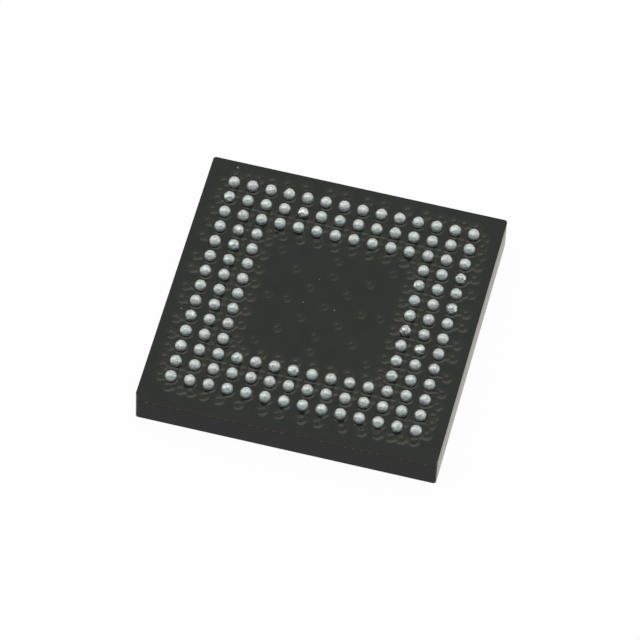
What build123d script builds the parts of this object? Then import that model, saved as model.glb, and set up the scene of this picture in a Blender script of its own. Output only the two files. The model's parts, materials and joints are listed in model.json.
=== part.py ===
from build123d import *
import os
from math import atan2, degrees, hypot, sqrt

# Chip-scale ball grid package lying on its moulded face, ball side up. Millimetres.
# Origin: centre of the flat moulded face. +Z: towards the balls. Rows run along X, row a is at +Y.

# Ball grid
ball_pitch = 0.50
grid_count = 14
ring_count = 3
ball_diameter = 0.30
mask_opening = 0.24
land_diameter = 0.32

# Body, from the moulded face up to the ball side
mould_thickness = 0.70
mask_thickness = 0.02
laminate_thickness = 0.24
copper_thickness = 0.02
edge_margin = 0.75
corner_radius = 0.08

# Vias and traces
via_drill = 0.10
via_land = 0.25
die_side_via_land = 0.17
trace_width = 0.03
ball_trace_width = 0.12
outer_via_places = [0.30, 0.73, 1.38, 1.89, 2.30, 2.65, 2.93, 3.26]
outer_via_reach = 0.38
corner_via_reach = 0.28
inner_via_reach = 0.32
inner_via_squeeze = 0.93
inner_via_shift = 0.03
ground_arms = 3
ground_via_land = 0.20

# Die, its adhesive and its bonds
die_side = 4.20
die_thickness = 0.28
adhesive_thickness = 0.025
paddle_side = 3.40
pad_pitch = 0.108
pad_inset = 0.08
finger_pitch = 0.145
finger_width = 0.10
finger_length = 0.24
finger_beyond_ring = 0.15
window_margin = 0.04
wire_width = 0.022
bond_diameter = 0.05
bond_side_count = 6
bond_height = 0.015
loop_height = 0.13
loop_flat = 0.40
stitch_length = 0.07
finger_run = 0.12
via_run = 0.18
edge_run = 0.06
edge_bar_width = 0.07
edge_bar_margin = 0.30

row_letters = "abcdefghjklmnp"
side_names = ["back", "left", "front", "right"]

# Heights that follow
body_side = (grid_count - 1) * ball_pitch + 2 * edge_margin
laminate_low = mould_thickness + mask_thickness
laminate_high = laminate_low + laminate_thickness
ball_side_z = laminate_high + mask_thickness
adhesive_low = mould_thickness - adhesive_thickness
die_face_z = adhesive_low - die_thickness

# Places in one side's own directions: along the side, then outwards from the centre
ring_halves = [(grid_count - 1 - 2 * ring) * ball_pitch / 2 for ring in range(ring_count)]
outer_run_middle = ring_halves[0] + (outer_via_reach + corner_via_reach) / 2
middle_via_out = ring_halves[1] - ball_pitch / 2
inner_via_out = ring_halves[2] - inner_via_reach
finger_out = ring_halves[1] + finger_beyond_ring
pad_out = die_side / 2 - pad_inset


def quarter_turned(point, turns):
    """The point, turned about Z by quarter turns."""
    x, y = point
    for _ in range(turns % 4):
        x, y = -y, x
    return (x, y)


def ring_positions(ring):
    """Places along one side of a ball ring, with its first corner and without its last."""
    half = ring_halves[ring]
    steps = grid_count - 1 - 2 * ring
    return [-half + ball_pitch * step for step in range(steps)]


def outer_via_out(along):
    """The row of outer vias is slightly arched, nearest to the balls at its ends."""
    arch = (along / ring_halves[0]) ** 2
    return ring_halves[0] + outer_via_reach + arch * (corner_via_reach - outer_via_reach)


def outer_vias():
    places = [-along for along in reversed(outer_via_places)] + outer_via_places
    return [(along, outer_via_out(along)) for along in places]


def middle_vias():
    """The first is beyond the ring's corner, the others stand diagonally between the balls."""
    corner = ring_halves[1] + ball_pitch / 2
    between = [(along - ball_pitch / 2, middle_via_out) for along in ring_positions(1)[1:]]
    return [(-corner, corner)] + between


def inner_vias():
    """The first is in the corner, the others stand just inside their balls."""
    places = [inner_via_squeeze * along + inner_via_shift for along in ring_positions(2)[1:]]
    return [(-inner_via_out, inner_via_out)] + [(along, inner_via_out) for along in places]


def ground_vias():
    """A star of vias under the die: four diagonal arms and four straight ones."""
    places = [(0, 0)]
    for arm in range(1, ground_arms + 1):
        reach = arm * ball_pitch
        for turns in range(4):
            places.append(quarter_turned((reach, reach), turns))
            if arm > 1:
                places.append(quarter_turned((reach, 0), turns))
    return places


def slab(face, low, high):
    return extrude(Pos(0, 0, low) * face, amount=high - low)


def body_outline():
    return RectangleRounded(body_side, body_side, corner_radius)


def disc(place, diameter):
    return Pos(*place) * Circle(diameter / 2)


def straight_trace(start, end, width):
    length = hypot(end[0] - start[0], end[1] - start[1])
    turn = degrees(atan2(end[1] - start[1], end[0] - start[0]))
    middle = ((start[0] + end[0]) / 2, (start[1] + end[1]) / 2)
    return Pos(*middle) * Rot(0, 0, turn) * Rectangle(length, width)


def side_cuts(points, width):
    """Left and right edge points of a mitred trace along the points."""
    left = []
    right = []
    for index, (x, y) in enumerate(points):
        before = points[max(index - 1, 0)]
        after = points[min(index + 1, len(points) - 1)]
        arrive = unit(before, (x, y)) if index else unit((x, y), after)
        leave = unit((x, y), after) if index < len(points) - 1 else arrive
        normal = (-(arrive[1] + leave[1]), arrive[0] + leave[0])
        reach = width / (normal[0] * -leave[1] + normal[1] * leave[0]) / 2
        left.append((x + normal[0] * reach, y + normal[1] * reach))
        right.append((x - normal[0] * reach, y - normal[1] * reach))
    return left, right


def unit(start, end):
    length = hypot(end[0] - start[0], end[1] - start[1])
    return ((end[0] - start[0]) / length, (end[1] - start[1]) / length)


def mitred_trace(points, width):
    left, right = side_cuts(points, width)
    return make_face(Polyline(*left, *reversed(right), close=True))


def turned_copies(shapes):
    """The shapes of one side, copied to all four."""
    return [Rot(0, 0, 90 * turns) * shape for turns in range(4) for shape in shapes]


def write(name, solids):
    pieces = [solid for shape in solids for solid in shape.solids()]
    export_step(pieces[0] if len(pieces) == 1 else Compound(children=pieces), f"parts/{name}.step")


# Ball side


def ball():
    """A reflowed ball: a sphere cut flat where it wets its land, through the mask's opening."""
    radius = ball_diameter / 2
    neck = mask_opening / 2
    centre = ball_side_z + sqrt(radius**2 - neck**2)
    above_mask = slab(Circle(2 * radius), ball_side_z, centre + 2 * radius)
    cap = (Pos(0, 0, centre) * Sphere(radius)) & above_mask
    return cap + slab(Circle(neck), laminate_high, ball_side_z)


def on_a_ring(column, row):
    last = grid_count - 1
    return min(column, row, last - column, last - row) < ring_count


def row_balls(row):
    half = ring_halves[0]
    columns = [column for column in range(grid_count) if on_a_ring(column, row)]
    return [(column * ball_pitch - half, half - row * ball_pitch) for column in columns]


def ball_net(place, vias):
    """A ball's land with its covered vias and the short traces that join them."""
    net = disc(place, land_diameter)
    for via in vias:
        net += straight_trace(place, via, ball_trace_width) + disc(via, via_land)
    return net


def outer_joins():
    """Each outer via is joined to the nearest ball, and the corner ball has a via on both sides."""
    places = ring_positions(0) + [ring_halves[0]]
    joins = {along: [] for along in places}
    for via in outer_vias():
        joins[min(places, key=lambda along: abs(along - via[0]))].append(via)
    corner_vias = joins.pop(ring_halves[0])
    joins[-ring_halves[0]] += [quarter_turned(via, 1) for via in corner_vias]
    return list(joins.values())


def ring_nets(ring):
    balls = [(along, ring_halves[ring]) for along in ring_positions(ring)]
    if ring == 0:
        joins = outer_joins()
    else:
        joins = [[via] for via in [middle_vias(), inner_vias()][ring - 1]]
    return [ball_net(place, own) for place, own in zip(balls, joins)]


def ball_side_copper():
    low = laminate_high - copper_thickness
    rings = {}
    for ring, name in enumerate(["outer", "middle", "inner"]):
        nets = turned_copies(ring_nets(ring))
        rings[f"ball_lands_{name}_ring"] = [slab(net, low, laminate_high) for net in nets]
    lands = [slab(disc(via, ground_via_land), low, laminate_high) for via in ground_vias()]
    rings["ground_via_lands"] = lands
    return rings


# Die side


def net_order():
    """One side's nets from left to right. One other net passes before each outer via, two in wide gaps."""
    others = [("middle", 0), ("middle", 1)]
    for index in range(len(inner_vias())):
        others += [("inner", index), ("middle", index + 2)]
    places = [via[0] for via in outer_vias()]
    gaps = [after - before for before, after in zip(places, places[1:])]
    by_width = sorted(range(len(gaps)), key=lambda gap: -gaps[gap])
    wide_gaps = by_width[:len(others) - len(places)]
    order = []
    for index in range(len(places)):
        order += [others.pop(0), ("outer", index)]
        if index in wide_gaps:
            order.append(others.pop(0))
    return order


def spread(rank, count, pitch):
    return (rank - (count - 1) / 2) * pitch


def passing_place(rank, order):
    """Where a middle or inner net passes the outer vias: spaced evenly between its neighbours."""
    vias = outer_vias()
    known = {at: vias[net[1]][0] for at, net in enumerate(order) if net[0] == "outer"}
    before = max([at for at in known if at < rank], default=None)
    after = min([at for at in known if at > rank], default=None)
    if before is None:
        return known[after] - ball_pitch / 2
    if after is None:
        return known[before] + ball_pitch / 2
    share = (rank - before) / (after - before)
    return known[before] + share * (known[after] - known[before])


def inward_route(net):
    """From a middle or inner via out to the bond finger's inner end."""
    kind, index = net
    low = middle_via_out - finger_run
    high = middle_via_out + finger_run
    if kind == "inner":
        inner_via = inner_vias()[index]
        gap = middle_vias()[index + 1][0] + ball_pitch / 2
        return [inner_via, (gap, low), (gap, high)]
    via = middle_vias()[index]
    return [via, (via[0], high)]


def outward_route(net, rank, order):
    """From the bond finger's outer end past the outer vias to the sawn edge."""
    kind, index = net
    low = outer_run_middle - via_run
    high = outer_run_middle + via_run
    edge = body_side / 2
    bar_span = body_side / 2 - edge_bar_margin
    at_edge = bar_span * (2 * rank / (len(order) - 1) - 1)
    if net == ("middle", 0):
        at_via = -low
        start = [middle_vias()[0]]
    else:
        at_via = outer_vias()[index][0] if kind == "outer" else passing_place(rank, order)
        start = []
    return start + [(at_via, low), (at_via, high), (at_edge, edge - edge_run), (at_edge, edge)]


def finger_place(rank, order):
    return (spread(rank, len(order), finger_pitch), finger_out)


def die_side_net(rank, order):
    """A bond finger with its via land and its plating bar out to the sawn edge."""
    net = order[rank]
    along, out = finger_place(rank, order)
    inner_end = (along, out - finger_length / 2)
    outer_end = (along, out + finger_length / 2)
    copper = Pos(along, out) * Rectangle(finger_width, finger_length)
    outward = [(along, out), outer_end] + outward_route(net, rank, order)
    copper += mitred_trace(outward, trace_width)
    copper += straight_trace(*outward[-2:], edge_bar_width)
    if net[0] != "outer" and net != ("middle", 0):
        copper += mitred_trace(inward_route(net) + [inner_end, (along, out)], trace_width)
    via = {"outer": outer_vias, "middle": middle_vias, "inner": inner_vias}[net[0]]()[net[1]]
    return copper + disc(via, die_side_via_land)


def die_side_nets():
    order = net_order()
    return [die_side_net(rank, order) for rank in range(len(order))]


def bond_windows():
    """One slot in the die-side mask over each side's row of bond fingers."""
    count = len(net_order())
    length = (count - 1) * finger_pitch + finger_width + 2 * window_margin
    width = finger_length + 2 * window_margin
    return turned_copies([Pos(0, finger_out) * Rectangle(length, width)])


def signal_via_places():
    vias = outer_vias() + middle_vias() + inner_vias()
    return [quarter_turned(via, turns) for turns in range(4) for via in vias]


def via_plugs(places):
    low = laminate_low + copper_thickness
    high = laminate_high - copper_thickness
    return [slab(disc(place, via_drill), low, high) for place in places]


# Die and bonds


def die():
    return slab(Rectangle(die_side, die_side), die_face_z, adhesive_low)


def die_adhesive():
    return slab(Rectangle(die_side, die_side), adhesive_low, mould_thickness)


def bond_wire(rank, order):
    """A gold wire: ball bond on the die, loop, and stitch on its finger."""
    pad = Vector(spread(rank, len(order), pad_pitch), pad_out)
    run = Vector(*finger_place(rank, order)) - pad
    along = run.normalized()
    loop_z = die_face_z - loop_height
    finger_z = laminate_low - wire_width / 2
    path = [(0, die_face_z), (0, loop_z), (run.length * loop_flat, loop_z),
            (run.length - stitch_length, finger_z), (run.length, finger_z)]
    across = Vector(along.Y, -along.X, 0)
    upright = Plane(origin=pad - across * (wire_width / 2), x_dir=along, z_dir=across)
    wire = extrude(upright * mitred_trace(path, wire_width), amount=wire_width)
    bond_face = Pos(pad.X, pad.Y) * RegularPolygon(bond_diameter / 2, bond_side_count)
    return wire + slab(bond_face, die_face_z - bond_height, die_face_z)


def side_wires():
    order = net_order()
    return [bond_wire(rank, order) for rank in range(len(order))]


# The whole package


def laminate(copper, plugs):
    core = slab(body_outline(), laminate_low, laminate_high)
    return core - copper - plugs


def ball_side_mask():
    coat = slab(body_outline(), laminate_high, ball_side_z)
    places = [place for row in range(grid_count) for place in row_balls(row)]
    return coat - [slab(disc(place, mask_opening), laminate_high, ball_side_z) for place in places]


def die_side_mask(windows):
    coat = slab(body_outline(), mould_thickness, laminate_low)
    return coat - windows


def mould_cap(contents, windows):
    """The moulding fills the windows down to the laminate and holds the die and its wires."""
    cap = slab(body_outline(), 0, mould_thickness)
    return (cap + windows) - contents


def main():
    os.makedirs("parts", exist_ok=True)
    pieces = {}
    one_ball = ball()
    for row, letter in enumerate(row_letters[:grid_count]):
        pieces[f"ball_row_{letter}"] = [Pos(*place) * one_ball for place in row_balls(row)]
    pieces.update(ball_side_copper())
    pieces["signal_vias"] = via_plugs(signal_via_places())
    pieces["ground_vias"] = via_plugs(ground_vias())
    low = laminate_low + copper_thickness
    pieces["die_paddle"] = [slab(Rectangle(paddle_side, paddle_side), laminate_low, low)]
    fingers = [slab(net, laminate_low, low) for net in die_side_nets()]
    wires = side_wires()
    for turns, name in enumerate(side_names):
        turn = Rot(0, 0, 90 * turns)
        pieces[f"bond_fingers_{name}"] = [turn * net for net in fingers]
        pieces[f"bond_wires_{name}"] = [turn * wire for wire in wires]
    pieces["silicon_die"] = [die()]
    pieces["die_adhesive"] = [die_adhesive()]

    copper_names = [name for name in pieces if name.startswith(("ball_lands", "ground", "bond_f", "die_p"))]
    copper = [solid for name in copper_names for solid in pieces[name]]
    pieces["laminate_core"] = [laminate(copper, pieces["signal_vias"])]
    pieces["ball_side_mask"] = [ball_side_mask()]
    windows = [slab(window, mould_thickness, laminate_low) for window in bond_windows()]
    pieces["die_side_mask"] = [die_side_mask(windows)]
    wire_names = [name for name in pieces if name.startswith("bond_wires")]
    contents = [solid for name in wire_names for solid in pieces[name]]
    contents += pieces["silicon_die"] + pieces["die_adhesive"]
    pieces["mould_cap"] = [mould_cap(contents, windows)]

    for name, solids in pieces.items():
        write(name, solids)


main()
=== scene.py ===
# %% [markdown]
# # A ball grid chip, ball side up
# This notebook dresses a finished construction model of a chip package: a black moulded body, a thin
# laminate with a dark solder mask, and 132 small solder balls on three rings. The construction model
# is the frame, and it fixes every size and place. Here the balls get an uneven skin, the mask gets its
# fine relief, and every piece gets its finish. All lengths are in metres, as Blender wants them, so a
# small constant turns millimetres into metres.

# %% Load the frame
import bpy
import json
import math
import random
import numpy as np
from mathutils import Euler, Matrix, Vector, noise
from mathutils.bvhtree import BVHTree


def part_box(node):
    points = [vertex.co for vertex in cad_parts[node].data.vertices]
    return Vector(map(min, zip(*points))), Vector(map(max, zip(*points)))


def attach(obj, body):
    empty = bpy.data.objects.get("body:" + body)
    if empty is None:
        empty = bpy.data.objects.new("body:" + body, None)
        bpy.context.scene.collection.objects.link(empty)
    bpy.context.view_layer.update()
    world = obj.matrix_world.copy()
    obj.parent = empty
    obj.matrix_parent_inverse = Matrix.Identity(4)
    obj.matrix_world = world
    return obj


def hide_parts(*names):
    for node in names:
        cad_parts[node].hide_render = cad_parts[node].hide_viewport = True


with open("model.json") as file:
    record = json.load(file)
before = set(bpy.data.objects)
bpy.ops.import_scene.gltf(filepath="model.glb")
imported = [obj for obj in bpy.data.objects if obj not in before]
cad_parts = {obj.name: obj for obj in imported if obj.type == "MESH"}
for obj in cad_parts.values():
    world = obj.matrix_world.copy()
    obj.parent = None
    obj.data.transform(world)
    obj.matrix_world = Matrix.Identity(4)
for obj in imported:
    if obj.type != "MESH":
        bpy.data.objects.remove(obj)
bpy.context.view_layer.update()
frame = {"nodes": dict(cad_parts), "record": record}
nodes = frame["nodes"]
MM = 0.001
print("nodes in the frame:", len(nodes))

# %% [markdown]
# ## Reading sizes from the frame
# The rows of balls give the grid: the first row spans thirteen pitches and one ball. The mask's box
# gives the body, and the height of the ball side. Only the two counts, the letters of the rows and the
# ball's diameter are written here. The rest is read from the frame, so the finish follows it.

# %% Sizes of the grid and the body
mask_low, mask_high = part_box("ball_side_mask")
row_low, row_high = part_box("ball_row_a")
grid_count = 14
ring_count = 3
ball_diameter = 0.30 * MM
ball_side_z = mask_high.z
land_z = mask_low.z
body_half = mask_high.x
grid_half = (row_high.x - row_low.x - ball_diameter) / 2
pitch = 2 * grid_half / (grid_count - 1)
ball_centre_z = row_high.z - ball_diameter / 2
row_letters = "abcdefghjklmnp"
print("pitch in mm:", round(pitch / MM, 4), "body in mm:", round(2 * body_half / MM, 3))

# %% [markdown]
# ## The camera
# The photograph is taken with a long lens from above the front edge, a little to the right. A long lens
# far away keeps the rows nearly parallel, so the distance and the lens matter as much as the angle.
# The place, the turn and the lens come from matching all the ball centres, and the camera has no blur.

# %% Camera
camera_place = Vector((17.848, -87.294, 123.738)) * MM
camera_tilt, camera_lean, camera_turn = 35.800, -1.787, 14.081
lens_mm = 327.67
sensor_mm = 36

camera_data = bpy.data.cameras.new("camera")
camera_data.lens = lens_mm
camera_data.sensor_width = sensor_mm
camera_data.clip_start = 1 * MM
camera = bpy.data.objects.new("camera", camera_data)
camera.location = camera_place
camera.rotation_euler = Euler([math.radians(a) for a in (camera_tilt, camera_lean, camera_turn)])
bpy.context.scene.collection.objects.link(camera)
bpy.context.scene.camera = camera
bpy.context.scene.view_settings.view_transform = "Standard"
print("camera at", tuple(round(v, 4) for v in camera.location))

# %% [markdown]
# ## Writing shaders as sums
# A material in Blender is a graph of small nodes, and a line of arithmetic can turn into a tangle of
# boxes. Here one small class stands for what comes out of a node. A sum of two such values adds an Add
# node and links it, so the arithmetic of a finish can be read as arithmetic. The reflected forms let a
# plain number come first, as in one minus a share.


# %% Arithmetic on sockets
class Signal:
    """What comes out of a node. Arithmetic on it adds Math nodes."""

    def __init__(self, graph, socket):
        self.graph = graph
        self.socket = socket

    def combine(self, operation, first, second):
        return self.graph.node("ShaderNodeMath", {"operation": operation}, {0: first, 1: second})

    def __add__(self, other):
        return self.combine("ADD", self, other)

    def __radd__(self, other):
        return self.combine("ADD", other, self)

    def __sub__(self, other):
        return self.combine("SUBTRACT", self, other)

    def __rsub__(self, other):
        return self.combine("SUBTRACT", other, self)

    def __mul__(self, other):
        return self.combine("MULTIPLY", self, other)

    def __rmul__(self, other):
        return self.combine("MULTIPLY", other, self)


print("reflected forms:", [name for name in vars(Signal) if name.startswith("__r")])

# %% [markdown]
# ## One call for any other node
# Every other node is added by one method, which takes its kind, its settings and what goes into its
# sockets. A finish is such a graph with a shader in it. Its noises are measured in millimetres of the
# object itself, so that a grain keeps its size wherever the piece is used.


# %% Graphs and finishes
class Graph:
    """The nodes of one material or world, with a single way to add any node."""

    def __init__(self, tree):
        self.tree = tree

    def feed(self, socket, value):
        if isinstance(value, Signal):
            self.tree.links.new(value.socket, socket)
        else:
            socket.default_value = value

    def node(self, kind, settings, inputs, output=0):
        made = self.tree.nodes.new(kind)
        for setting, value in settings.items():
            setattr(made, setting, value)
        for socket, value in inputs.items():
            self.feed(made.inputs[socket], value)
        return Signal(self, made.outputs[output])

    def blend(self, share, first, second):
        """The first colour where the share is nothing, the second where it is one."""
        inputs = {0: share, 6: first, 7: second}
        return self.node("ShaderNodeMix", {"data_type": "RGBA"}, inputs, 2)

    def mix(self, share, first, second):
        """The first shader where the share is nothing, the second where it is one."""
        return self.node("ShaderNodeMixShader", {}, {0: share, 1: first, 2: second}, "Shader")


class Finish(Graph):
    """One material with its shader. Sizes of noise are in millimetres."""

    def __init__(self, name, constants):
        self.material = bpy.data.materials.new(name)
        self.material.use_nodes = True
        super().__init__(self.material.node_tree)
        self.shader = self.tree.nodes["Principled BSDF"]
        for socket, value in constants.items():
            self.link(socket, value)

    def link(self, socket, value):
        self.feed(self.shader.inputs[socket], value)

    def place(self, stretch):
        """Object coordinates in millimetres, stretched along the axes."""
        where = self.node("ShaderNodeTexCoord", {}, {}, "Object")
        scale = [part / MM for part in stretch]
        return self.node("ShaderNodeMapping", {}, {"Vector": where, "Scale": scale})

    def noise(self, size, detail=3, rough=0.5, stretch=(1, 1, 1)):
        """Noise with features of about the given size."""
        wanted = {"Vector": self.place(stretch), "Scale": 1 / size, "Detail": detail, "Roughness": rough}
        return self.node("ShaderNodeTexNoise", {}, wanted, "Fac")

    def ramp(self, value, low, high):
        """Nothing below low, one above high, smooth between."""
        wanted = {"Value": value, "From Min": low, "From Max": high}
        return self.node("ShaderNodeMapRange", {"interpolation_type": "SMOOTHSTEP"}, wanted, "Result")

    def bump(self, height, strength, depth):
        wanted = {"Height": height, "Strength": strength, "Distance": depth}
        self.link("Normal", self.node("ShaderNodeBump", {}, wanted, "Normal"))

    def sawn_share(self):
        """One on the upright sawn sides, nothing on level faces."""
        normal = self.node("ShaderNodeTexCoord", {}, {}, "Normal")
        height = self.node("ShaderNodeSeparateXYZ", {}, {"Vector": normal}, "Z")
        level = self.node("ShaderNodeMath", {"operation": "ABSOLUTE"}, {0: height})
        return 1 - self.ramp(level, low=0.3, high=0.7)


def colour(red, green, blue):
    return (red, green, blue, 1.0)


def wear(piece, material):
    """Give a piece one material all over."""
    piece.data.materials.clear()
    piece.data.materials.append(material)


print("a finish can add:", [name for name in vars(Finish) if not name.startswith("_")])

# %% [markdown]
# ## The solder mask
# The coat on the ball side is a dark green-black lacquer. It is nearly black by itself, and what the
# eye sees is mostly the light in its satin surface. It needs a low colour, a low roughness, and the
# slow mottling and fine ripple that a printed and cured coat has. A picture could hold them too, but
# noise has no seam and stays sharp however near the camera comes. Over copper the mask looks browner,
# because some copper shows through. The mask at the die side shows only as a line in the sawn sides.


# %% Solder mask finish
def mask_finish(name, light, dark, ior):
    finish = Finish(name, {"IOR": ior})
    mottle = finish.noise(size=0.45, detail=4, rough=0.6)
    ripple = finish.noise(size=0.035, detail=3, rough=0.6)
    tint = finish.ramp(mottle, low=0.35, high=0.65)
    finish.link("Base Color", finish.blend(tint, colour(*dark), colour(*light)))
    finish.link("Roughness", 0.17 + mottle * 0.08 + ripple * 0.04 + finish.sawn_share() * 0.5)
    finish.bump(ripple * 0.6 + mottle * 0.4, strength=0.20, depth=0.004 * MM)
    return finish.material


green_black = (0.0070, 0.0080, 0.0030), (0.0040, 0.0075, 0.0020)
brown_black = (0.0140, 0.0125, 0.0030), (0.0090, 0.0100, 0.0020)
mask_coat = mask_finish("solder_mask_coat", *green_black, ior=1.5)
copper_coat = mask_finish("solder_mask_over_copper", *brown_black, ior=1.5)
sealed_mask = mask_finish("sealed_solder_mask", *green_black, ior=1.36)
print("finishes:", mask_coat.name, copper_coat.name, sealed_mask.name)

# %% [markdown]
# ## The moulding compound
# The body under the laminate is black epoxy full of fine glass beads. It was sawn from a larger panel,
# so its sides are smoother and carry fine level scratches, while the face it lies on has the even grain
# of the mould. Two materials could do this. One is simpler, because the shader's normal tells the sides
# from the face, and the scratches are noise stretched along the level. A surface full of beads reflects
# less than clear epoxy, so its index of refraction is set low.


# %% Moulding compound finish
def mould_finish():
    finish = Finish("moulding_compound", {"IOR": 1.26})
    grain = finish.noise(size=0.03, detail=4, rough=0.7)
    cloud = finish.noise(size=0.8, detail=2)
    scratches = finish.noise(size=0.02, detail=3, rough=0.6, stretch=(0.05, 0.05, 1))
    sides = finish.sawn_share()
    black = finish.blend(cloud, colour(0.0020, 0.0050, 0.0080), colour(0.0035, 0.0065, 0.0100))
    finish.link("Base Color", black)
    finish.link("Roughness", 0.40 + grain * 0.10 - sides * 0.25)
    finish.bump(grain * 0.5 + scratches * sides * 1.2, strength=0.35, depth=0.004 * MM)
    return finish.material


mould_black = mould_finish()
print("finish:", mould_black.name)

# %% [markdown]
# ## The laminate
# Between mask and moulding lies a thin board of glass cloth in dark resin. Its sawn edge shows the
# bundles of the cloth as short dashes, a little paler than the resin. They could be modelled one by
# one, but a bundle is hardly thicker than a pixel here. So they are noise again, stretched along the
# level, and a ramp keeps only its peaks.


# %% Laminate finish
def laminate_finish():
    finish = Finish("laminate_edge", {"IOR": 1.27})
    bundles = finish.noise(size=0.05, detail=2, rough=0.5, stretch=(0.25, 0.25, 1))
    fibres = finish.ramp(bundles, low=0.52, high=0.66)
    fine = finish.noise(size=0.02, detail=3, rough=0.6)
    dark = finish.blend(fibres, colour(0.0030, 0.0042, 0.0035), colour(0.0080, 0.0080, 0.0055))
    finish.link("Base Color", dark)
    finish.link("Roughness", 0.18 + fine * 0.10)
    finish.bump(bundles * 0.6 + fine * 0.4, strength=0.35, depth=0.004 * MM)
    return finish.material


laminate_dark = laminate_finish()
print("finish:", laminate_dark.name)

# %% [markdown]
# ## Solder
# A reflowed ball of lead-free solder isn't a mirror. It freezes from many seeds at once, and each seed
# grows a patch with its own direction, so the surface is satin and speckled, with small dents. One ball
# in ten froze coarsely: its skin is smoother and breaks into facets, some bright and some dull. Every
# ball could have a material of its own. Instead it carries a number for how coarse it is, stored on its
# mesh, and the shader reads the number, so one material serves all the balls.

# %% Solder finish
COARSE = "coarse_grain"


def solder_finish():
    finish = Finish("reflowed_solder", {"IOR": 1.5})
    coarse = finish.node("ShaderNodeAttribute", {"attribute_name": COARSE}, {}, "Fac")
    crystals = finish.noise(size=0.035, detail=2, rough=0.6)
    facets = finish.noise(size=0.11, detail=1, rough=0.5)
    dents = finish.noise(size=0.05, detail=4, rough=0.6)
    fine = finish.noise(size=0.012, detail=3, rough=0.7)
    dull = finish.ramp(facets, low=0.50, high=0.56) * coarse
    speckle = finish.ramp(crystals, low=0.36, high=0.50) + coarse * 0.3 - dull * 0.7
    finish.link("Base Color", finish.blend(speckle, colour(0.44, 0.45, 0.44), colour(0.82, 0.83, 0.81)))
    finish.link("Metallic", 0.5 + coarse * 0.35)
    finish.link("Roughness", 0.34 + fine * 0.14 - coarse * 0.24)
    height = dents * 0.7 + fine * 0.15 + crystals * 0.6 + facets * coarse * 6.0
    finish.bump(height, strength=0.55, depth=0.016 * MM)
    return finish.material


solder = solder_finish()
print("finish:", solder.name)

# %% [markdown]
# ## Copper and gold
# The plating bars were sawn through with the package, so their copper ends show as a row of brown
# dots along each side. They could be painted on, but they are solids of the construction already, and
# need only a colour. The saw smears them, some more than others, so a metal here has its own colour on
# upright faces, and slow noise makes some of the ends darker.


# %% Metal finishes
def metal_finish(name, light, dark, cut, rough, grain):
    """A metal with two shades on its level faces and a duller one where it is cut upright."""
    finish = Finish(name, {"Metallic": 1.0})
    stain = finish.noise(size=grain, detail=4, rough=0.6)
    level = finish.blend(stain, colour(*dark), colour(*light))
    smeared = finish.ramp(finish.noise(size=0.25, detail=2), low=0.42, high=0.58)
    upright = finish.blend(smeared, colour(*cut), colour(*(0.3 * part for part in cut)))
    finish.link("Base Color", finish.blend(finish.sawn_share(), level, upright))
    finish.link("Roughness", rough + stain * 0.2)
    finish.bump(stain, strength=0.3, depth=0.002 * MM)
    return finish.material


pale_copper, brown_copper, sawn_copper = (0.62, 0.33, 0.17), (0.40, 0.20, 0.10), (0.17, 0.10, 0.05)
pale_gold, deep_gold = (0.95, 0.70, 0.28), (0.80, 0.55, 0.20)
copper = metal_finish("etched_copper", pale_copper, brown_copper, sawn_copper, rough=0.35, grain=0.05)
gold = metal_finish("gold_wire", pale_gold, deep_gold, deep_gold, rough=0.22, grain=0.03)
print("finishes:", copper.name, gold.name)

# %% [markdown]
# ## What is sealed inside
# The die and its adhesive are never seen unless the package is opened up. They are still finished,
# because the parts can be used one by one: a satin grey for ground silicon, and a dull pale grey for the
# filled epoxy under it. One recipe makes both.


# %% Inner finishes
def plain_finish(name, light, dark, rough, grain):
    finish = Finish(name, {"IOR": 1.5})
    cloud = finish.noise(size=grain, detail=4, rough=0.6)
    finish.link("Base Color", finish.blend(cloud, colour(*dark), colour(*light)))
    finish.link("Roughness", rough + cloud * 0.15)
    finish.bump(cloud, strength=0.2, depth=0.003 * MM)
    return finish.material


light_silicon, dark_silicon = (0.26, 0.27, 0.30), (0.20, 0.21, 0.24)
light_epoxy, dark_epoxy = (0.60, 0.60, 0.56), (0.45, 0.45, 0.42)
silicon = plain_finish("ground_silicon", light_silicon, dark_silicon, rough=0.25, grain=0.40)
adhesive = plain_finish("die_adhesive_epoxy", light_epoxy, dark_epoxy, rough=0.50, grain=0.10)
print("finishes:", silicon.name, adhesive.name)

# %% [markdown]
# ## Dressing the construction
# The frame's record names a material slot for each of its nodes, so one small table gives every node its
# finish, and no node can be forgotten. The mask on the die side is the one exception: it is sealed in,
# and gets the version that reflects less.

# %% Give each construction node its finish
slot_finishes = {
    "mould_compound": mould_black,
    "solder_mask": mask_coat,
    "laminate": laminate_dark,
    "silicon": silicon,
    "adhesive": adhesive,
    "copper": copper,
    "gold": gold,
    "solder": solder,
}
for subpart in frame["record"]["subparts"]:
    wear(nodes[subpart["node"]], slot_finishes[subpart["material_slot"]])
wear(nodes["die_side_mask"], sealed_mask)

# %% [markdown]
# ## One solder ball
# Liquid solder pulls itself into a sphere, wets the copper through the opening in the mask, and stands
# on that flat spot. It could be a sphere with rings and poles, but then every ball would have its pole
# in view. An icosphere has none. It is cut off at the mask with a bisect, which closes the cut, and the
# closed face is extruded down through the opening to the land.

# %% Model one ball
smooth_angle = math.radians(50)


def pick(piece):
    """Make one piece active and select it alone."""
    bpy.ops.object.select_all(action="DESELECT")
    bpy.context.view_layer.objects.active = piece
    piece.select_set(True)


def settle(piece):
    """Put a piece's place into its mesh, so that its object sits at the origin."""
    pick(piece)
    bpy.ops.object.transform_apply(location=True, rotation=True, scale=True)


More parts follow.
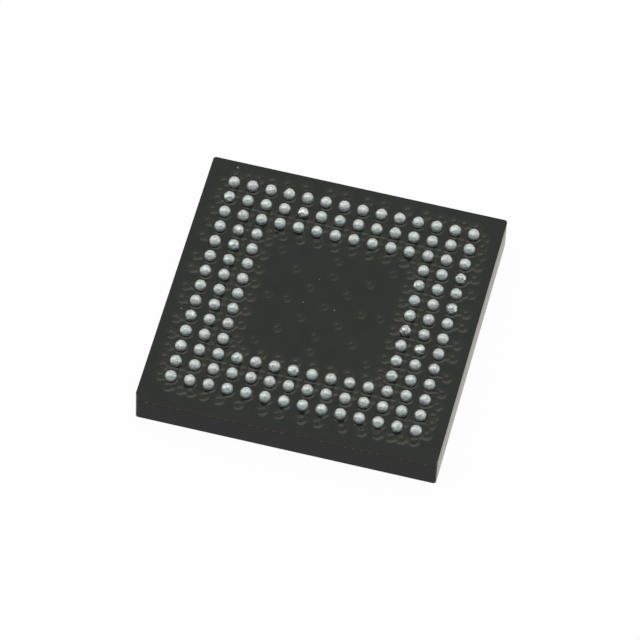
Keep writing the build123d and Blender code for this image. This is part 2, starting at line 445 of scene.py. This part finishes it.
def model_ball():
    bpy.ops.object.select_all(action="DESELECT")
    centre = (0, 0, ball_centre_z)
    bpy.ops.mesh.primitive_ico_sphere_add(subdivisions=4, radius=ball_diameter / 2, location=centre)
    ball = bpy.context.object
    settle(ball)
    bpy.ops.object.mode_set(mode="EDIT")
    bpy.ops.mesh.select_all(action="SELECT")
    bpy.ops.mesh.bisect(plane_co=(0, 0, ball_side_z), plane_no=(0, 0, 1), use_fill=True, clear_inner=True)
    bpy.ops.mesh.extrude_region_move(TRANSFORM_OT_translate={"value": (0, 0, land_z - ball_side_z)})
    bpy.ops.object.mode_set(mode="OBJECT")
    bpy.ops.object.shade_smooth_by_angle(angle=smooth_angle)
    return ball


ball_pattern = model_ball()
print("faces in one ball:", len(ball_pattern.data.polygons))

# %% [markdown]
# ## The skin of a ball
# No two balls freeze alike. The whole sphere is a little flattened by its weight and by wetting, and its
# skin is pushed in and out by a few micrometres, by broad dents and by fine crinkles. A bump could fake
# them, but not the uneven outline that they give a ball. Both are noise, and each ball reads it at
# another place. The neck in the mask's opening keeps its shape, and no point may rise above the tip
# that the construction gives.

# %% Dents and crinkles
dent_depth = 0.009 * MM
dent_size = 0.09 * MM
crinkle_depth = 0.005 * MM
crinkle_size = 0.04 * MM
neck_height = 0.01 * MM
squash = Vector((1.015, 1.015, 0.91))
ball_centre = Vector((0, 0, ball_centre_z))
tip_z = ball_centre_z + ball_diameter / 2


def dented(point, seed, coarse):
    """Move a point of the ball's skin by dents and crinkles. The neck stays as it is."""
    if point.z < ball_side_z + neck_height:
        return point
    reach = point - ball_centre
    shift = Vector((seed, 0, 0))
    push = dent_depth * noise.noise(reach / dent_size + shift)
    push += crinkle_depth * (1 + coarse) * noise.noise(reach / crinkle_size - shift)
    moved = ball_centre + (reach * squash).normalized() * ((reach * squash).length + push)
    moved.z = min(moved.z, tip_z)
    return moved


sample_tip = dented(Vector((0, 0, tip_z)), seed=0, coarse=0)
print("tip of a ball above the mask in mm:", round((sample_tip.z - ball_side_z) / MM, 4))

# %% [markdown]
# ## Rows of balls
# The balls could share one mesh, but then they would all be alike. So every ball is a copy with its own
# mesh, turned about its own upright axis and dented. The balls that sparkle in the photograph are listed
# by column and row, and the others are coarse by chance, up to a small share. A row is then joined into
# one piece, as the frame has one node for each row.

# %% Copy the ball along the grid
sparkling = {
    (4, 1): 1.0, (11, 7): 1.0, (13, 3): 0.9, (12, 8): 0.9, (13, 5): 0.7, (1, 4): 0.6, (11, 4): 0.6,
    (13, 9): 0.6, (0, 9): 0.6, (1, 3): 0.5, (0, 1): 0.5, (12, 7): 0.5, (6, 1): 0.5,
}
plain_coarse = 0.3
seed_step = 10
random.seed(14)


def on_a_ring(column, row):
    last = grid_count - 1
    return min(column, row, last - column, last - row) < ring_count


def ball_place(column, row):
    return Vector((column * pitch - grid_half, grid_half - row * pitch, 0))


def place_ball(column, row):
    ball = ball_pattern.copy()
    ball.data = ball_pattern.data.copy()
    bpy.context.scene.collection.objects.link(ball)
    turn = Matrix.Rotation(random.uniform(0, 2 * math.pi), 4, "Z")
    seed = seed_step * (column + grid_count * row)
    coarse = sparkling.get((column, row), random.uniform(0.0, plain_coarse))
    for vertex in ball.data.vertices:
        vertex.co = dented(turn @ vertex.co, seed, coarse) + ball_place(column, row)
    grain = ball.data.attributes.new(COARSE, "FLOAT", "POINT")
    grain.data.foreach_set("value", [coarse] * len(ball.data.vertices))
    return ball


def join(pieces, name):
    pick(pieces[0])
    for piece in pieces:
        piece.select_set(True)
    bpy.ops.object.join()
    joined = bpy.context.object
    joined.name = name
    joined.data.name = name
    return joined


for row, letter in enumerate(row_letters):
    columns = [column for column in range(grid_count) if on_a_ring(column, row)]
    solder_row = join([place_ball(column, row) for column in columns], f"solder_balls_{letter}")
    wear(solder_row, solder)
    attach(solder_row, "root")
    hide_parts(f"ball_row_{letter}")
bpy.data.objects.remove(ball_pattern)
print("rows of balls:", len(row_letters))

# %% [markdown]
# ## Where the copper is
# The mask is a thin coat that follows the copper under it. It climbs over every land, trace and via
# land with a soft slope, and sinks into the hole of each via, and light catches on those slopes. A bump
# in the shader would need the places of all of them. The construction already holds the copper and the
# vias, so here they become two surfaces that can be asked for their nearest point.


# %% Surfaces that can be searched
def surface_of(names):
    """One surface that can be searched, made of several construction nodes."""
    corners, faces = [], []
    for name in names:
        place = nodes[name].matrix_world
        first = len(corners)
        corners += [place @ vertex.co for vertex in nodes[name].data.vertices]
        faces += [[first + corner for corner in face.vertices] for face in nodes[name].data.polygons]
    return BVHTree.FromPolygons(corners, faces)


land_names = [name for name in nodes if name.startswith("ball_lands")] + ["ground_via_lands"]
via_names = ["signal_vias", "ground_vias"]
copper_surface = surface_of(land_names)
via_surface = surface_of(via_names)
via_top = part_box("signal_vias")[1].z
print("nodes searched:", len(land_names) + len(via_names))

# %% [markdown]
# ## How high the mask lies
# The height of the coat falls off smoothly with the distance from copper. Round a via it rises higher and
# falls off more slowly, and it sags toward the hole, so a point near a via looks for copper a little
# farther out, which draws the ring of the via in. The coat is thicker in some places than in others,
# so the rise over the lands is multiplied by slow noise.

# %% Height of the mask over the copper
land_rise = 0.017 * MM
land_slope = 0.070 * MM
via_rise = 0.029 * MM
via_slope = 0.090 * MM
hole_slope = 0.070 * MM
sag_reach = 0.055 * MM
sag_near = 0.050 * MM
sag_far = 0.170 * MM
patch_size = 0.30 * MM
patch_mean, patch_swing = 0.85, 0.65
patch_least, patch_most = 0.45, 1.2


def soft_step(share):
    share = np.clip(share, 0, 1)
    return share * share * (3 - 2 * share)


def sideways(surface, points, height, reach):
    """The distance of each point from a surface, at most the reach, and the way off it."""
    found = np.full(len(points), reach)
    way = np.zeros((len(points), 2))
    for index, (x, y) in enumerate(points):
        nearest, normal, face, distance = surface.find_nearest((x, y, height), reach)
        if distance:
            way[index] = (x - nearest.x) / distance, (y - nearest.y) / distance
        if distance is not None:
            found[index] = distance
    return found, way


def patches(points):
    """How thickly the coat lies over the copper: a share that wanders from place to place."""
    waves = [noise.noise(Vector((x / patch_size, y / patch_size, 0))) for x, y in points]
    return np.clip(patch_mean + patch_swing * np.array(waves), patch_least, patch_most)


def relief_heights(points):
    via_distance, off_via = sideways(via_surface, points, via_top, sag_far)
    near_via = soft_step((sag_far - via_distance) / (sag_far - sag_near))
    outward = off_via * sag_reach * near_via[:, None]
    copper_distance = sideways(copper_surface, points + outward, land_z, via_slope)[0]
    slope = land_slope + (via_slope - land_slope) * near_via
    rise = land_rise * patches(points) + (via_rise - land_rise) * near_via
    return rise * soft_step(1 - copper_distance / slope) * soft_step(via_distance / hole_slope)


sample_height = relief_heights(np.array([[grid_half, grid_half]]))[0]
print("relief under the corner ball in mm:", round(float(sample_height) / MM, 4))

# %% [markdown]
# ## The relief of the mask
# A fine grid is laid over the whole ball side and every point is lifted to its height. Displacement from
# a picture would do the same, but there is no picture here, only distances. Faces that stay level are
# deleted, because the flat mask of the construction is already there, and the piece stays light.

# %% Lift a fine grid over the copper
relief_step = 0.022 * MM
skin_lift = 0.0005 * MM
level_height = 0.001 * land_rise


def delete_faces(piece, chosen):
    """Delete the chosen faces of a piece."""
    pick(piece)
    bpy.ops.object.mode_set(mode="EDIT")
    bpy.ops.mesh.select_mode(type="FACE")
    bpy.ops.mesh.select_all(action="DESELECT")
    bpy.ops.object.mode_set(mode="OBJECT")
    piece.data.polygons.foreach_set("select", chosen)
    bpy.ops.object.mode_set(mode="EDIT")
    bpy.ops.mesh.delete(type="FACE")
    bpy.ops.object.mode_set(mode="OBJECT")


def mask_relief():
    bpy.ops.object.select_all(action="DESELECT")
    steps = round(2 * body_half / relief_step)
    bpy.ops.mesh.primitive_grid_add(x_subdivisions=steps, y_subdivisions=steps, size=2 * body_half)
    relief = bpy.context.object
    relief.name = "mask_relief"
    points = np.empty(3 * len(relief.data.vertices))
    relief.data.vertices.foreach_get("co", points)
    points = points.reshape(-1, 3)
    heights = relief_heights(points[:, :2])
    points[:, 2] = ball_side_z + skin_lift + heights
    relief.data.vertices.foreach_set("co", points.ravel())
    corners = np.empty(4 * len(relief.data.polygons), dtype=np.int64)
    relief.data.polygons.foreach_get("vertices", corners)
    delete_faces(relief, heights[corners.reshape(-1, 4)].max(axis=1) < level_height)
    bpy.ops.object.shade_smooth()
    return relief


relief = mask_relief()
wear(relief, copper_coat)
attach(relief, "root")
print("faces in the relief:", len(relief.data.polygons))

# %% [markdown]
# ## Dust
# A few specks of white dust lie on the mask. They are tiny, but the eye finds them at once on a dark
# ground. They could be spots in the mask's colour, but a speck that stands up catches light from every
# side. Each is a small squashed ball of fluff that rests on the mask, and every speck has its own shape
# from noise. Their places and sizes are those of the photograph, in millimetres.

# %% Specks of dust
dust_places = [
    (-3.29, 3.79, 0.05), (-3.56, -1.05, 0.04), (-0.55, -0.01, 0.03), (0.30, -0.05, 0.03),
    (-0.31, 0.82, 0.022),
]
fluff_height, fluff_centre = 0.5, 0.3
fluff_swing = 0.8
fluff_waves = 60 / MM


def dust_finish():
    finish = Finish("white_dust", {"Roughness": 0.9})
    shade = finish.noise(size=0.01)
    finish.link("Base Color", finish.blend(shade, colour(0.20, 0.22, 0.23), colour(0.40, 0.42, 0.42)))
    return finish.material


def speck(x, y, size, seed):
    bpy.ops.object.select_all(action="DESELECT")
    place = (x * MM, y * MM, ball_side_z + fluff_centre * size * MM)
    bpy.ops.mesh.primitive_ico_sphere_add(subdivisions=2, radius=size / 2 * MM, location=place)
    made = bpy.context.object
    settle(made)
    centre = Vector(place)
    for vertex in made.data.vertices:
        reach = vertex.co - centre
        reach.z *= fluff_height
        wave = noise.noise(reach * fluff_waves + Vector((seed, 0, 0)))
        vertex.co = centre + reach * (1 + fluff_swing * wave)
    return made


specks = [speck(x, y, size, seed) for seed, (x, y, size) in enumerate(dust_places)]
dust = join(specks, "dust_specks")
wear(dust, dust_finish())
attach(dust, "root")
print("specks of dust:", len(dust_places))

# %% [markdown]
# ## The floor
# The package lies on white paper that fades into white. Plain paper under lamps is never evenly white.
# So to the camera, and in reflections, the floor is almost wholly plain white light, with a small share
# of real paper left in it, which keeps a trace of the shadow. In reflections the white is slightly warm.
# To all other light it is ordinary paper.

# %% White paper
floor_size = 0.6
floor_drop = 0.01 * MM
white_share = 0.97
paper_grey = colour(0.9, 0.9, 0.9)
plain_white = colour(1, 1, 1)
warm_white = colour(1, 0.985, 0.92)


def paper_material():
    material = bpy.data.materials.new("white_paper")
    material.use_nodes = True
    paper = Graph(material.node_tree)
    paper.tree.nodes.remove(paper.tree.nodes["Principled BSDF"])
    seen = paper.node("ShaderNodeLightPath", {}, {}, "Is Camera Ray")
    mirrored = paper.node("ShaderNodeLightPath", {}, {}, "Is Glossy Ray")
    white = paper.blend(mirrored, plain_white, warm_white)
    glow = paper.node("ShaderNodeEmission", {}, {"Color": white}, "Emission")
    sheet = paper.node("ShaderNodeBsdfDiffuse", {}, {"Color": paper_grey}, "BSDF")
    shown = paper.mix((seen + mirrored) * white_share, sheet, glow)
    paper.feed(paper.tree.nodes["Material Output"].inputs["Surface"], shown)
    return material


bpy.ops.object.select_all(action="DESELECT")
bpy.ops.mesh.primitive_plane_add(size=floor_size, location=(0, 0, -floor_drop))
floor = bpy.context.object
floor.name = "floor"
wear(floor, paper_material())
print("floor:", floor.name, "in", floor.active_material.name)

# %% [markdown]
# ## The room
# Beyond the floor the camera sees white. To all other light the room is a dim, slightly blue grey. No
# lamp stands in front, so this is what the near side of each ball shows, cool and even. A picture of a
# studio could light the scene as well, but two plain colours are easier to follow and to change.

# %% Light of the room
room_colour = colour(0.72, 0.92, 1.0)
room_strength = 0.32

world = bpy.data.worlds.new("white_tent")
bpy.context.scene.world = world
world.use_nodes = True
tent = Graph(world.node_tree)
tent.tree.nodes.remove(tent.tree.nodes["Background"])
seen = tent.node("ShaderNodeLightPath", {}, {}, "Is Camera Ray")
room_inputs = {"Color": room_colour, "Strength": room_strength}
room = tent.node("ShaderNodeBackground", {}, room_inputs, "Background")
white = tent.node("ShaderNodeBackground", {}, {"Color": plain_white}, "Background")
tent.feed(tent.tree.nodes["World Output"].inputs["Surface"], tent.mix(seen, room, white))
print("world:", world.name, "strength", room_strength)

# %% [markdown]
# ## The lamps
# The light is that of a small photo tent: a low wall of light behind, a broad strip above, a wall on
# either side, and one smaller lamp at the upper left, which adds a bright spot to each ball. Points of
# light would be simpler, but large lamps close by give satin metal its soft patches. Each lamp is told
# how bright its face is, with white as 1, and its power follows from its size.

# %% Lamps
lamp_white = (1.0, 0.96, 0.87)


def lamp(name, place, width, height, glow):
    """A soft lamp that looks at the package."""
    data = bpy.data.lights.new(name, "AREA")
    data.shape = "RECTANGLE"
    data.size = width
    data.size_y = height
    data.energy = glow * math.pi * width * height
    data.color = lamp_white
    light = bpy.data.objects.new(name, data)
    light.location = place
    light.rotation_euler = Vector(place).to_track_quat("Z", "Y").to_euler()
    bpy.context.scene.collection.objects.link(light)
    return light


lamps = [
    lamp("back_wall", (0.00, 0.17, 0.12), width=0.36, height=0.24, glow=0.43),
    lamp("top_strip", (-0.01, 0.02, 0.215), width=0.24, height=0.12, glow=1.6),
    lamp("left_wall", (-0.19, 0.03, 0.08), width=0.18, height=0.16, glow=0.88),
    lamp("right_wall", (0.19, 0.06, 0.08), width=0.18, height=0.16, glow=0.85),
    lamp("left_lamp", (-0.15, 0.03, 0.15), width=0.08, height=0.08, glow=1.5),
]
print("lamps:", [light.name for light in lamps])

# %% [markdown]
